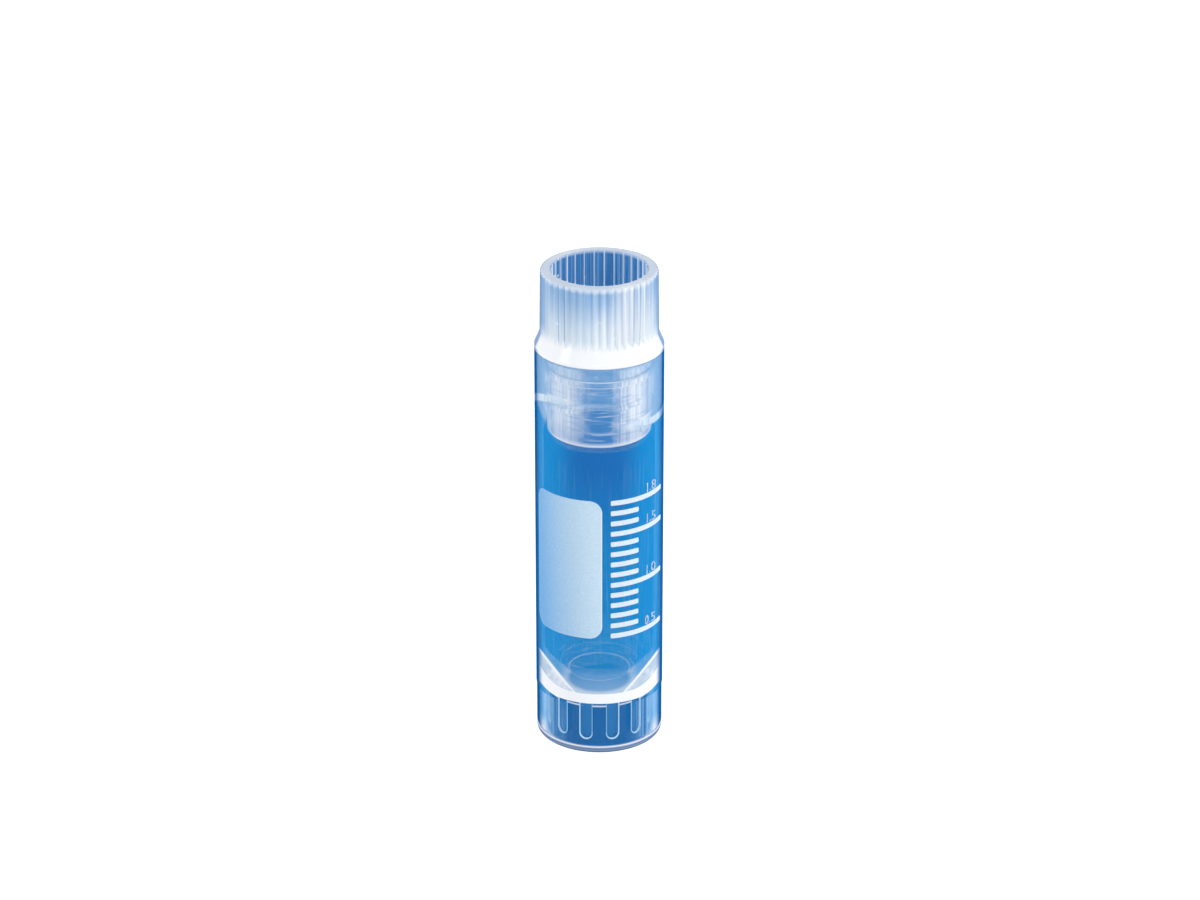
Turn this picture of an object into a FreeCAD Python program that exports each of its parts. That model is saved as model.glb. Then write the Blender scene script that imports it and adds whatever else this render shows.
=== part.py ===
"""A 2 ml cryovial that stands by itself, with a screw cap whose thread is inside the tube's mouth.

Millimetres, +Z up. The origin is the centre of the face that the vial stands on, and azimuths are
in degrees from +X towards +Y. The front of the vial, with its printed scale, faces -Y.
"""

import FreeCAD, Part

import math
import os

import Sketcher

# Each driving size: its name, its value in mm unless it says otherwise, and what it measures.
SIZES = (
    # The tube
    ("tube_diameter", 12.5, "outside of the tube's wall and of the cap's flange"),
    ("tube_wall", 0.85, "thickness of the tube's wall"),
    ("tube_height", 41.05, "from the base to the rim"),
    ("seat_step", 0.3, "how far the seal's seat is cut into the wall"),
    ("floor_thickness", 1.2, "floor under the liquid"),
    ("floor_flat_diameter", 6.0, "flat at the bottom of the inner cone"),
    ("cone_height", 2.7, "from that flat up to the straight bore"),
    # The foot
    ("foot_depth", 5.3, "from the base up to the underside of the floor"),
    ("foot_step", 0.06, "how far the skirt lies inside the wall above it"),
    ("foot_wall", 1.04, "thickness of the skirt"),
    ("foot_edge_radius", 0.5, "rounding of the edge that the vial stands on"),
    ("foot_rib_count", 12, "ribs inside the skirt, a number"),
    ("foot_rib_width", 1.2, "each rib, along the skirt"),
    ("foot_rib_height", 0.75, "each rib, inwards from the skirt"),
    ("foot_rib_lift", 1.1, "from the base to the ribs' round ends"),
    ("foot_rib_azimuth", 15, "the first rib, in degrees"),
    # The seal
    ("seal_height", 1.65, "silicone ring"),
    ("seal_edge_radius", 0.25, "rounding of its edges"),
    ("seal_gap", 0.05, "between the ring and what it fits, all round"),
    # The cap
    ("rim_gap", 0.05, "between the tube's rim and the flange"),
    ("cap_height", 7.9, "from the flange's underside to the top"),
    ("flange_thickness", 0.3, "upright edge of the flange"),
    ("flare_slope", 2.3, "rise of the flare above the flange for each mm inwards, a number"),
    ("knob_top_step", 0.58, "how far the knob's top lies inside the flange"),
    ("knob_foot_step", 0.49, "how far its foot lies inside the flange"),
    ("knob_edge_radius", 0.3, "rounding of the knob's top edge"),
    ("flute_count", 48, "flutes round the knob, a number"),
    ("flute_depth", 0.2, "each flute, at the top"),
    ("flute_width", 0.54, "each flute, at the top"),
    ("knob_wall", 0.95, "between the knob's top edge and the recess for a colour insert"),
    ("recess_depth", 4.6, "from the top to the floor of the recess"),
    ("recess_rib_count", 30, "ribs round the recess, a number"),
    ("recess_rib_width", 0.5, "each rib, along the wall"),
    ("recess_rib_height", 0.22, "each rib, inwards from the wall"),
    ("web_thickness", 1.2, "floor between the recess and the hollow plug"),
    ("plug_gap", 0.35, "between the plug and the bore, where the threads are"),
    ("plug_wall", 0.95, "thickness of the hollow plug's wall"),
    ("plug_length", 8.7, "from the flange's underside to the plug's end"),
    ("plug_chamfer", 0.2, "lead at the plug's end"),
    ("neck_step", 0.15, "how far the neck that the seal sits round lies inside the plug"),
    ("bead_height", 0.65, "bead that keeps the seal on the neck"),
    ("bead_gap", 0.1, "between the bead and the bore"),
    # The threads: one ridge in the tube, and one on the plug just below it
    ("thread_pitch", 3.0, "rise of one turn, right-handed"),
    ("thread_turns", 1.0, "length of each ridge, a number of turns"),
    ("thread_width", 0.85, "each ridge, at its root"),
    ("thread_crest", 0.4, "each ridge, at its crest"),
    ("thread_gap", 0.08, "between each crest and the wall that it faces"),
    ("thread_flank_gap", 0.15, "between the two ridges when the cap is closed"),
    ("thread_sink", 0.12, "how far each ridge's root reaches into its wall"),
    ("thread_drop", 6.9, "from the rim to the lower end of the tube's ridge"),
    ("thread_azimuth", 260, "lower end of the tube's ridge, in degrees"),
    ("plug_thread_delay", 60, "from there to the lower end of the plug's ridge, in degrees"),
    # The print
    ("ink_thickness", 0.04, "printed layer"),
    ("patch_azimuth", 201, "left edge of the patch, in degrees"),
    ("patch_sweep", 71.5, "patch, round the tube, in degrees"),
    ("patch_corner_radius", 1.25, "rounding of its corners"),
    ("mark_height", 0.5, "each line of the scale, along the tube"),
    ("mark_azimuth", 280.2, "left ends of the lines, in degrees"),
    ("short_mark_sweep", 27, "short lines, round the tube, in degrees"),
    ("long_mark_sweep", 60.5, "long lines, round the tube, in degrees"),
    ("mark_end_radius", 0.12, "rounding of the lines' ends"),
    ("mark_volume", 100, "liquid between two lines, in cubic mm"),
    ("marks_each_long", 5, "lines from one long line to the next, a number"),
    ("first_mark_volume", 500, "liquid below the first line, in cubic mm"),
    ("mark_count", 14, "lines of the scale, a number"),
)

# What follows from the driving sizes. Each entry is a name and its formula.
FITS = (
    ("tube_radius", "Sizes.tube_diameter / 2"),
    ("bore_radius", "Fits.tube_radius - Sizes.tube_wall"),
    ("seat_radius", "Fits.bore_radius + Sizes.seat_step"),
    ("seat_level", "Sizes.tube_height - Sizes.seal_height"),
    ("floor_flat_radius", "Sizes.floor_flat_diameter / 2"),
    ("floor_top", "Sizes.foot_depth + Sizes.floor_thickness"),
    ("cone_top", "Fits.floor_top + Sizes.cone_height"),
    ("foot_radius", "Fits.tube_radius - Sizes.foot_step"),
    ("foot_bore_radius", "Fits.foot_radius - Sizes.foot_wall"),
    ("foot_rib_tip", "Fits.foot_bore_radius - Sizes.foot_rib_height"),
    ("foot_rib_root", "(Fits.foot_bore_radius + Fits.foot_radius) / 2"),
    ("foot_rib_end_radius", "Sizes.foot_rib_width / 2"),
    ("foot_rib_top", "Sizes.foot_depth + Sizes.floor_thickness / 2"),
    ("flange_level", "Sizes.tube_height + Sizes.rim_gap"),
    ("flare_level", "Fits.flange_level + Sizes.flange_thickness"),
    ("cap_top", "Fits.flange_level + Sizes.cap_height"),
    ("knob_top_radius", "Fits.tube_radius - Sizes.knob_top_step"),
    ("knob_foot_radius", "Fits.tube_radius - Sizes.knob_foot_step"),
    ("flute_floor_radius", "Fits.knob_top_radius - Sizes.flute_depth"),
    ("flute_spread", "Sizes.flute_width / 2 / Sizes.flute_depth"),
    ("flute_mouth", "(Fits.tube_radius - Fits.flute_floor_radius) * Fits.flute_spread"),
    ("recess_radius", "Fits.knob_top_radius - Sizes.knob_wall"),
    ("recess_level", "Fits.cap_top - Sizes.recess_depth"),
    ("recess_rib_tip", "Fits.recess_radius - Sizes.recess_rib_height"),
    ("recess_rib_root", "(Fits.recess_radius + Fits.flute_floor_radius) / 2"),
    ("flare_rise", "(Fits.tube_radius - Fits.recess_rib_root) * Sizes.flare_slope"),
    ("flare_top", "Fits.flare_level + Fits.flare_rise"),
    ("hollow_top", "Fits.recess_level - Sizes.web_thickness"),
    ("plug_radius", "Fits.bore_radius - Sizes.plug_gap"),
    ("plug_bore_radius", "Fits.plug_radius - Sizes.plug_wall"),
    ("plug_end", "Fits.flange_level - Sizes.plug_length"),
    ("neck_radius", "Fits.plug_radius - Sizes.neck_step"),
    ("bead_radius", "Fits.bore_radius - Sizes.bead_gap"),
    ("bead_top", "Fits.seat_level - Sizes.seal_gap"),
    ("bead_bottom", "Fits.bead_top - Sizes.bead_height"),
    ("seal_inner_radius", "Fits.neck_radius + Sizes.seal_gap"),
    ("seal_outer_radius", "Fits.seat_radius - Sizes.seal_gap"),
    ("thread_rise", "Sizes.thread_pitch * Sizes.thread_turns"),
    ("tube_thread_level", "Sizes.tube_height - Sizes.thread_drop"),
    ("tube_thread_crest", "Fits.plug_radius + Sizes.thread_gap"),
    ("tube_thread_root", "Fits.bore_radius + Sizes.thread_sink"),
    ("plug_thread_offset", "Sizes.thread_pitch * Sizes.plug_thread_delay / 360"),
    ("plug_thread_drop", "Sizes.thread_width + Sizes.thread_flank_gap"),
    ("plug_thread_level", "Fits.tube_thread_level + Fits.plug_thread_offset - Fits.plug_thread_drop"),
    ("plug_thread_azimuth", "Sizes.thread_azimuth + Sizes.plug_thread_delay"),
    ("plug_thread_crest", "Fits.bore_radius - Sizes.thread_gap"),
    ("plug_thread_root", "Fits.plug_radius - Sizes.thread_sink"),
    ("ink_radius", "Fits.tube_radius + Sizes.ink_thickness"),
    ("bore_area", "pi * Fits.bore_radius ^ 2"),
    ("flat_area", "pi * Fits.floor_flat_radius ^ 2"),
    ("cone_area", "(Fits.bore_area + Fits.flat_area + sqrt(Fits.bore_area * Fits.flat_area)) / 3"),
    ("cone_volume", "Fits.cone_area * Sizes.cone_height"),
    ("mark_spacing", "Sizes.mark_volume / Fits.bore_area"),
    ("first_mark", "Fits.cone_top + (Sizes.first_mark_volume - Fits.cone_volume) / Fits.bore_area"),
    ("first_mark_bottom", "Fits.first_mark - Sizes.mark_height / 2"),
    ("first_mark_top", "Fits.first_mark + Sizes.mark_height / 2"),
    ("long_mark_step", "round(Sizes.marks_each_long)"),
    ("long_mark_spacing", "Fits.mark_spacing * Fits.long_mark_step"),
    ("long_mark_count", "floor((Sizes.mark_count - 1) / Fits.long_mark_step) + 1"),
    ("last_mark_rise", "Fits.mark_spacing * (Sizes.mark_count - 1)"),
    ("last_mark_bottom", "Fits.first_mark_bottom + Fits.last_mark_rise"),
    ("last_mark_top", "Fits.first_mark_top + Fits.last_mark_rise"),
    ("long_mark_azimuth", "Sizes.mark_azimuth + Sizes.short_mark_sweep / 2"),
    ("long_mark_rest", "Sizes.long_mark_sweep - Sizes.short_mark_sweep / 2"),
)

UPRIGHT = FreeCAD.Vector(0, 1, 0)  # the vial's axis, as a sketch on an upright plane sees it
NEAR = 1e-4  # two sizes closer than this are the same


def make_sheet(doc):
    """The sheet of driving sizes, one row for each."""
    sheet = doc.addObject("Spreadsheet::Sheet", "Sizes")
    for row, (name, value, meaning) in enumerate(SIZES, start=1):
        sheet.set(f"A{row}", name)
        sheet.set(f"B{row}", str(value))
        sheet.setAlias(f"B{row}", name)
        sheet.set(f"C{row}", meaning)
    return sheet


def make_fits(doc):
    """The sizes and levels that follow from the sheet."""
    fits = doc.addObject("App::VarSet", "Fits")
    for name, formula in FITS:
        fits.addProperty("App::PropertyFloat", name)
        fits.setExpression(name, formula)
    doc.recompute()
    return fits


def new_body(doc, label):
    """An empty body at the vial's origin."""
    body = doc.addObject("PartDesign::Body", label.title().replace("_", ""))
    body.Label = label
    body.Placement = FreeCAD.Placement()
    return body


def origin_feature(body, role):
    """One of the body's own planes or axes."""
    return next(feature for feature in body.Origin.OriginFeatures if feature.Role == role)


def new_sketch(body, name, plane, azimuth=None, offset="0"):
    """An empty sketch on the body's plane, turned about the vial's axis and moved along its own normal."""
    sketch = body.newObject("Sketcher::SketchObject", name)
    sketch.AttachmentSupport = (origin_feature(body, plane), [""])
    sketch.MapMode = "FlatFace"
    if azimuth:
        sketch.AttachmentOffset = FreeCAD.Placement(FreeCAD.Vector(), FreeCAD.Rotation(UPRIGHT, 1))
        sketch.setExpression("AttachmentOffset.Rotation.Angle", azimuth)
        sketch.setExpression("AttachmentOffset.Base.x", f"({offset}) * sin({azimuth})")
        sketch.setExpression("AttachmentOffset.Base.z", f"({offset}) * cos({azimuth})")
    else:
        sketch.setExpression("AttachmentOffset.Base.z", offset)
    return sketch


def pin_point(sketch, line, end, across, up):
    """Ties a line's end to two formulas, its distances from the sketch's origin."""
    for axis, kind, formula in ((-2, "DistanceX", across), (-1, "DistanceY", up)):
        if formula == "0":
            sketch.addConstraint(Sketcher.Constraint("PointOnObject", line, end, axis))
        else:
            number = sketch.addConstraint(Sketcher.Constraint(kind, -1, 1, line, end, 1.0))
            sketch.setExpression(f"Constraints[{number}]", formula)


def outline(body, name, corners, plane="XZ_Plane", azimuth=None, offset="0"):
    """A closed sketch of straight lines. Each corner is two formulas: across or outwards, and up."""
    sketch = new_sketch(body, name, plane, azimuth, offset)
    count = len(corners)
    turns = [2 * math.pi * number / count for number in range(count + 1)]
    ring = [FreeCAD.Vector(math.cos(turn), math.sin(turn)) for turn in turns]
    for start, end in zip(ring, ring[1:]):
        sketch.addGeometry(Part.LineSegment(start, end))
    for line in range(count):
        sketch.addConstraint(Sketcher.Constraint("Coincident", line, 2, (line + 1) % count, 1))
    for line, (across, up) in enumerate(corners):
        pin_point(sketch, line, 1, across, up)
    return sketch


def revolve(body, name, sketch, kind="Revolution", sweep="360"):
    """Turns a sketch about the vial's axis, to add a Revolution or cut a Groove."""
    feature = body.newObject(f"PartDesign::{kind}", name)
    feature.Profile = sketch
    feature.ReferenceAxis = (sketch, ["V_Axis"])
    feature.setExpression("Angle", sweep)
    body.Tip = feature
    return feature


def repeat_round(body, name, feature, count):
    """Copies a feature evenly round the vial's axis."""
    pattern = body.newObject("PartDesign::PolarPattern", name)
    pattern.Originals = [feature]
    pattern.Axis = (origin_feature(body, "Z_Axis"), [""])
    pattern.Angle = 360
    pattern.setExpression("Occurrences", count)
    body.Tip = pattern
    return pattern


def repeat_up(body, name, feature, count, spacing):
    """Copies a feature up the vial at an even spacing."""
    pattern = body.newObject("PartDesign::LinearPattern", name)
    pattern.Originals = [feature]
    pattern.Direction = (origin_feature(body, "Z_Axis"), [""])
    pattern.Mode = "Spacing"
    pattern.setExpression("Offset", spacing)
    pattern.setExpression("Occurrences", count)
    body.Tip = pattern
    return pattern


def round_edges(body, name, base, radius, wanted):
    """Rounds the edges of the base feature that wanted picks."""
    body.Document.recompute()
    names = [f"Edge{number}" for number, edge in enumerate(base.Shape.Edges, start=1) if wanted(edge)]
    fillet = body.newObject("PartDesign::Fillet", name)
    fillet.Base = (base, names)
    fillet.setExpression("Radius", radius)
    body.Tip = fillet
    return fillet


def is_ring(edge, radius, level):
    """Whether an edge is a circle about the vial's axis with this radius, at this level."""
    if not isinstance(edge.Curve, Part.Circle):
        return False
    same_radius = abs(edge.Curve.Radius - radius) < NEAR
    return same_radius and abs(edge.Curve.Center.z - level) < NEAR


def is_level_line(edge, length):
    """Whether an edge is a straight line of this length that lies level."""
    if not isinstance(edge.Curve, Part.Line):
        return False
    rise = edge.Vertexes[0].Point.z - edge.Vertexes[-1].Point.z
    return abs(edge.Length - length) < NEAR and abs(rise) < NEAR


def thread_ridge(body, name, root, crest, level, azimuth):
    """A helical ridge from root to crest radius that starts at a level and an azimuth."""
    corners = (
        (root, f"{level} - Sizes.thread_width / 2"),
        (crest, f"{level} - Sizes.thread_crest / 2"),
        (crest, f"{level} + Sizes.thread_crest / 2"),
        (root, f"{level} + Sizes.thread_width / 2"),
    )
    section = outline(body, f"{name}Section", corners, azimuth=azimuth)
    ridge = body.newObject("PartDesign::AdditiveHelix", name)
    ridge.Profile = section
    ridge.ReferenceAxis = (section, ["V_Axis"])
    ridge.Mode = "pitch-height-angle"
    ridge.setExpression("Pitch", "Sizes.thread_pitch")
    ridge.setExpression("Height", "Fits.thread_rise")
    body.Tip = ridge
    return ridge


def foot_rib_sketch(body):
    """The front view of one rib of the foot: straight sides and a round lower end."""
    sketch = new_sketch(
        body, "FootRibOutline", "XZ_Plane", azimuth="Sizes.foot_rib_azimuth", offset="Fits.foot_rib_tip"
    )
    low, high = 2.0, 5.0
    left, right = FreeCAD.Vector(-1, low), FreeCAD.Vector(1, low)
    sketch.addGeometry(Part.LineSegment(right, FreeCAD.Vector(1, high)))
    sketch.addGeometry(Part.LineSegment(FreeCAD.Vector(1, high), FreeCAD.Vector(-1, high)))
    sketch.addGeometry(Part.LineSegment(FreeCAD.Vector(-1, high), left))
    circle = Part.Circle(FreeCAD.Vector(0, low), FreeCAD.Vector(0, 0, 1), 1)
    sketch.addGeometry(Part.ArcOfCircle(circle, math.pi, 2 * math.pi))
    for line in (0, 1):
        sketch.addConstraint(Sketcher.Constraint("Coincident", line, 2, line + 1, 1))
    sketch.addConstraint(Sketcher.Constraint("Tangent", 2, 2, 3, 1))
    sketch.addConstraint(Sketcher.Constraint("Tangent", 3, 2, 0, 1))
    for side in (0, 2):
        sketch.addConstraint(Sketcher.Constraint("Vertical", side))
    sketch.addConstraint(Sketcher.Constraint("Horizontal", 1))
    sketch.addConstraint(Sketcher.Constraint("PointOnObject", 3, 3, -2))
    radius = sketch.addConstraint(Sketcher.Constraint("Radius", 3, 1.0))
    sketch.setExpression(f"Constraints[{radius}]", "Fits.foot_rib_end_radius")
    bottom = sketch.addConstraint(Sketcher.Constraint("DistanceY", -1, 1, 3, 3, low))
    sketch.setExpression(f"Constraints[{bottom}]", "Sizes.foot_rib_lift + Fits.foot_rib_end_radius")
    top = sketch.addConstraint(Sketcher.Constraint("DistanceY", -1, 1, 0, 2, high))
    sketch.setExpression(f"Constraints[{top}]", "Fits.foot_rib_top")
    return sketch


def make_tube(doc, fits):
    """The tube, one moulding: wall, seat, cone floor, ribbed foot skirt and the thread in its mouth."""
    body = new_body(doc, "tube")
    corners = (
        ("0", "Fits.floor_top"),
        ("Fits.floor_flat_radius", "Fits.floor_top"),
        ("Fits.bore_radius", "Fits.cone_top"),
        ("Fits.bore_radius", "Fits.seat_level"),
        ("Fits.seat_radius", "Fits.seat_level"),
        ("Fits.seat_radius", "Sizes.tube_height"),
        ("Fits.tube_radius", "Sizes.tube_height"),
        ("Fits.tube_radius", "Sizes.foot_depth"),
        ("Fits.foot_radius", "Sizes.foot_depth"),
        ("Fits.foot_radius", "0"),
        ("Fits.foot_bore_radius", "0"),
        ("Fits.foot_bore_radius", "Sizes.foot_depth"),
        ("0", "Sizes.foot_depth"),
    )
    wall = revolve(body, "Wall", outline(body, "WallSection", corners))
    round_edges(
        body, "FootEdge", wall, "Sizes.foot_edge_radius",
        lambda edge: is_ring(edge, fits.foot_radius, 0),
    )
    rib = body.newObject("PartDesign::Pad", "FootRib")
    rib.Profile = foot_rib_sketch(body)
    rib.setExpression("Length", "Fits.foot_rib_root - Fits.foot_rib_tip")
    body.Tip = rib
    repeat_round(body, "FootRibs", rib, "Sizes.foot_rib_count")
    thread_ridge(
        body, "TubeThread", "Fits.tube_thread_root", "Fits.tube_thread_crest",
        "Fits.tube_thread_level", "Sizes.thread_azimuth",
    )
    return body


def make_knob(body, fits):
    """The knob, which narrows upwards, with flutes all round it and along its whole height."""
    corners = (
        ("0", "Fits.flange_level"),
        ("Fits.knob_foot_radius", "Fits.flange_level"),
        ("Fits.knob_top_radius", "Fits.cap_top"),
        ("0", "Fits.cap_top"),
    )
    knob = revolve(body, "Knob", outline(body, "KnobSection", corners))
    round_edges(
        body, "KnobEdge", knob, "Sizes.knob_edge_radius",
        lambda edge: is_ring(edge, fits.knob_top_radius, fits.cap_top),
    )
    groove = (
        ("Fits.flute_floor_radius", "0"),
        ("Fits.tube_radius", "Fits.flute_mouth"),
        ("Fits.tube_radius", "-Fits.flute_mouth"),
    )
    flute = body.newObject("PartDesign::Pocket", "Flute")
    flute.Profile = outline(body, "FluteSection", groove, plane="XY_Plane")
    flute.Type = "ThroughAll"
    flute.Reversed = True
    body.Tip = flute
    repeat_round(body, "Flutes", flute, "Sizes.flute_count")


def make_flange_and_plug(body):
    """The flange with its flare, the seal's neck and bead, and the plug, all still solid inside."""
    corners = (
        ("0", "Fits.flare_top"),
        ("Fits.recess_rib_root", "Fits.flare_top"),
        ("Fits.tube_radius", "Fits.flare_level"),
        ("Fits.tube_radius", "Fits.flange_level"),
        ("Fits.neck_radius", "Fits.flange_level"),
        ("Fits.neck_radius", "Fits.bead_top"),
        ("Fits.bead_radius", "Fits.bead_top"),
        ("Fits.bead_radius", "Fits.bead_bottom"),
        ("Fits.plug_radius", "Fits.bead_bottom"),
        ("Fits.plug_radius", "Fits.plug_end + Sizes.plug_chamfer"),
        ("Fits.plug_radius - Sizes.plug_chamfer", "Fits.plug_end"),
        ("0", "Fits.plug_end"),
    )
    revolve(body, "FlangeAndPlug", outline(body, "FlangeAndPlugSection", corners))


def cut_round(body, name, radius, bottom, top):
    """Cuts a round hollow between two levels."""
    corners = (("0", bottom), (radius, bottom), (radius, top), ("0", top))
    revolve(body, name, outline(body, f"{name}Section", corners), kind="Groove")


def make_recess_ribs(body):
    """The ribs round the recess, from its floor to the top."""
    corners = (
        ("Fits.recess_rib_tip", "0"),
        ("Fits.recess_rib_root", "Sizes.recess_rib_width / 2"),
        ("Fits.recess_rib_root", "-Sizes.recess_rib_width / 2"),
    )
    rib = body.newObject("PartDesign::Pad", "RecessRib")
    rib.Profile = outline(
        body, "RecessRibSection", corners, plane="XY_Plane", offset="Fits.recess_level"
    )
    rib.setExpression("Length", "Sizes.recess_depth")
    body.Tip = rib
    repeat_round(body, "RecessRibs", rib, "Sizes.recess_rib_count")


def make_cap(doc, fits):
    """The cap, one moulding: fluted knob, ribbed recess, flange and the hollow threaded plug."""
    body = new_body(doc, "cap")
    make_knob(body, fits)
    make_flange_and_plug(body)
    cut_round(body, "Recess", "Fits.recess_radius", "Fits.recess_level", "Fits.cap_top")
    cut_round(body, "PlugHollow", "Fits.plug_bore_radius", "Fits.plug_end", "Fits.hollow_top")
    make_recess_ribs(body)
    thread_ridge(
        body, "PlugThread", "Fits.plug_thread_root", "Fits.plug_thread_crest",
        "Fits.plug_thread_level", "Fits.plug_thread_azimuth",
    )
    return body


def make_seal_ring(doc):
    """The silicone ring between the neck and the seat, with rounded edges."""
    body = new_body(doc, "seal_ring")
    corners = (
        ("Fits.seal_inner_radius", "Fits.seat_level"),
        ("Fits.seal_outer_radius", "Fits.seat_level"),
        ("Fits.seal_outer_radius", "Sizes.tube_height"),
        ("Fits.seal_inner_radius", "Sizes.tube_height"),
    )
    ring = revolve(body, "Ring", outline(body, "RingSection", corners))
    round_edges(
        body, "RingEdges", ring, "Sizes.seal_edge_radius",
        lambda edge: isinstance(edge.Curve, Part.Circle),
    )
    return body


def print_section(body, name, inner, bottom, top, azimuth, sweep):
    """A layer between two levels and over part of a turn, from an inner radius out to the ink's face."""
    corners = (
        (inner, bottom),
        ("Fits.ink_radius", bottom),
        ("Fits.ink_radius", top),
        (inner, top),
    )
    section = outline(body, f"{name}Section", corners, azimuth=azimuth)
    return revolve(body, name, section, sweep=sweep)


def make_writing_patch(doc, fits):
    """The printed field to write on, as tall as the scale.

    Its corners are rounded on a thick blank, whose inside is then cut away.
    """
    body = new_body(doc, "writing_patch")
    bottom, top = "Fits.first_mark_bottom", "Fits.last_mark_top"
    blank = print_section(
        body, "Blank", "Fits.bore_radius", bottom, top, "Sizes.patch_azimuth", "Sizes.patch_sweep"
    )
    round_edges(
        body, "BlankCorners", blank, "Sizes.patch_corner_radius",
        lambda edge: is_level_line(edge, fits.ink_radius - fits.bore_radius),
    )
    cut_round(body, "WallSide", "Fits.tube_radius", bottom, top)
    return body


def make_graduation_marks(doc, sheet):
    """The scale's lines, one for each step of volume. Each fifth and the last are carried on further."""
    body = new_body(doc, "graduation_marks")
    body.AllowCompound = True
    wall, low, high = "Fits.tube_radius", "Fits.first_mark_bottom", "Fits.first_mark_top"
    start, sweep = "Sizes.mark_azimuth", "Sizes.short_mark_sweep"
    mark = print_section(body, "ShortMark", wall, low, high, start, sweep)
    repeat_up(body, "ShortMarks", mark, "Sizes.mark_count", "Fits.mark_spacing")
    start, sweep = "Fits.long_mark_azimuth", "Fits.long_mark_rest"
    mark = print_section(body, "LongMark", wall, low, high, start, sweep)
    repeat_up(body, "LongMarks", mark, "Fits.long_mark_count", "Fits.long_mark_spacing")
    low, high = "Fits.last_mark_bottom", "Fits.last_mark_top"
    last = print_section(body, "LastMark", wall, low, high, start, sweep)
    round_edges(
        body, "MarkEnds", last, "Sizes.mark_end_radius",
        lambda edge: is_level_line(edge, sheet.ink_thickness),
    )
    return body


def check(doc, bodies):
    """Stops if any object failed or any piece isn't a sound solid."""
    for item in doc.Objects:
        if "Invalid" in item.State or "Error" in item.State:
            raise RuntimeError(f"{item.Label} failed: {item.State}")
    for body in bodies:
        if body.Shape.isNull() or not body.Shape.isValid() or not body.Shape.Solids:
            raise RuntimeError(f"{body.Label} isn't a sound solid")


def main():
    doc = FreeCAD.newDocument("cryovial")
    sheet = make_sheet(doc)
    fits = make_fits(doc)
    bodies = (
        make_tube(doc, fits),
        make_seal_ring(doc),
        make_cap(doc, fits),
        make_writing_patch(doc, fits),
        make_graduation_marks(doc, sheet),
    )
    doc.recompute()
    check(doc, bodies)
    os.makedirs("parts", exist_ok=True)
    for body in bodies:
        body.Shape.exportStep(os.path.join("parts", f"{body.Label}.step"))
        box = body.Shape.BoundBox
        print(f"{body.Label}: {len(body.Shape.Solids)} solids, {body.Shape.Volume:.2f} cubic mm,", end=" ")
        print(f"z {box.ZMin:.2f} to {box.ZMax:.2f}")


main()
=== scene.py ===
"""Dresses a self-standing cryovial with an inside thread: its clear blue plastic, its print and the studio round it."""

import math

import bpy
from bpy.props import FloatProperty, FloatVectorProperty, PointerProperty
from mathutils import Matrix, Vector


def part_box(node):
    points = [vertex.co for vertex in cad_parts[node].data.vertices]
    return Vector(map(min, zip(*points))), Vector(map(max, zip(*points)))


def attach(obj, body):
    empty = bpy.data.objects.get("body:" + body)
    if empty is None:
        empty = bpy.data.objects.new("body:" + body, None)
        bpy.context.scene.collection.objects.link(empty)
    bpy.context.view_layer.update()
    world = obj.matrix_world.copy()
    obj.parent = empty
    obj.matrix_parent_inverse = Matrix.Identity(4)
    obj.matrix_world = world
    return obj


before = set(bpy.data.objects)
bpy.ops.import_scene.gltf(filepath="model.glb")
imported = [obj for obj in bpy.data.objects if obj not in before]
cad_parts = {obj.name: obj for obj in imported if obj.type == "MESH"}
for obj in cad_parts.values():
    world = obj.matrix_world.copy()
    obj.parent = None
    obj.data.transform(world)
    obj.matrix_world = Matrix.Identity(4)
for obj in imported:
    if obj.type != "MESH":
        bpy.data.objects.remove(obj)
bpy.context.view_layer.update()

bl_info = {
    "name": "Cryovial",
    "version": (1, 0, 0),
    "blender": (4, 5, 0),
    "location": "View3D > Sidebar > Cryovial",
    "description": "Plastics, print and studio for a self-standing cryovial",
    "category": "Object",
}

MM = 1000.0  # heights and radii in the materials are in millimetres
RAMP_HEIGHT = 50.0  # the height that a colour ramp spans
QUARTER_TURN = math.pi / 2

# Looks change along edges. An edge is two numbers: the look starts at the first and is complete at the second. Edges
# are heights from the base or radii from the axis, in millimetres. Those named SEEN go by how far a face turns from
# the eye, from 0 where it is seen straight on to 1 where it is seen along its face. A band or a ring is the two
# numbers that it lies between, and how soft its ends are.

# Studio, in metres
FLOOR_SIZE = 6.0
FLOOR_GREY = (0.9, 0.9, 0.9)
STUDIO_WHITE = (1.0, 1.0, 1.0)
FLOOR_GLOW = 0.5
ROOM_LIGHT, SEEN_ROOM_LIGHT = 0.6, 1.0
LAMPS = (("left_light", -1.0, 0.85), ("right_light", 1.0, 1.2))  # name, side, share of the power
LAMP_WIDTH, LAMP_HEIGHT = 0.1, 0.34
LAMP_ASIDE, LAMP_Y, LAMP_Z = 0.36, -0.17, 0.18
LAMP_AIM = Vector((0, 0, 0.03))
CAMERA_SHIFT = 0.0006
BOUNCES, CLEAR_BOUNCES = 24, 64

# Scale
SCALE_START = 0.5  # millilitres at its lowest line
SCALE_STEPS = 13  # from its lowest line to its highest
STEPS_PER_ML = 10
SCALE_NUMBERS = (0.5, 1.0, 1.5, 1.8)  # millilitres
TYPE_RESOLUTION = 4
NUMBER_COVER = (0.4, 0.8)  # between the grain, and on it

# Foot ribs
FOOT_RIBS = 12
RIB_END = 1.7  # height of the centre of their round ends

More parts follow.
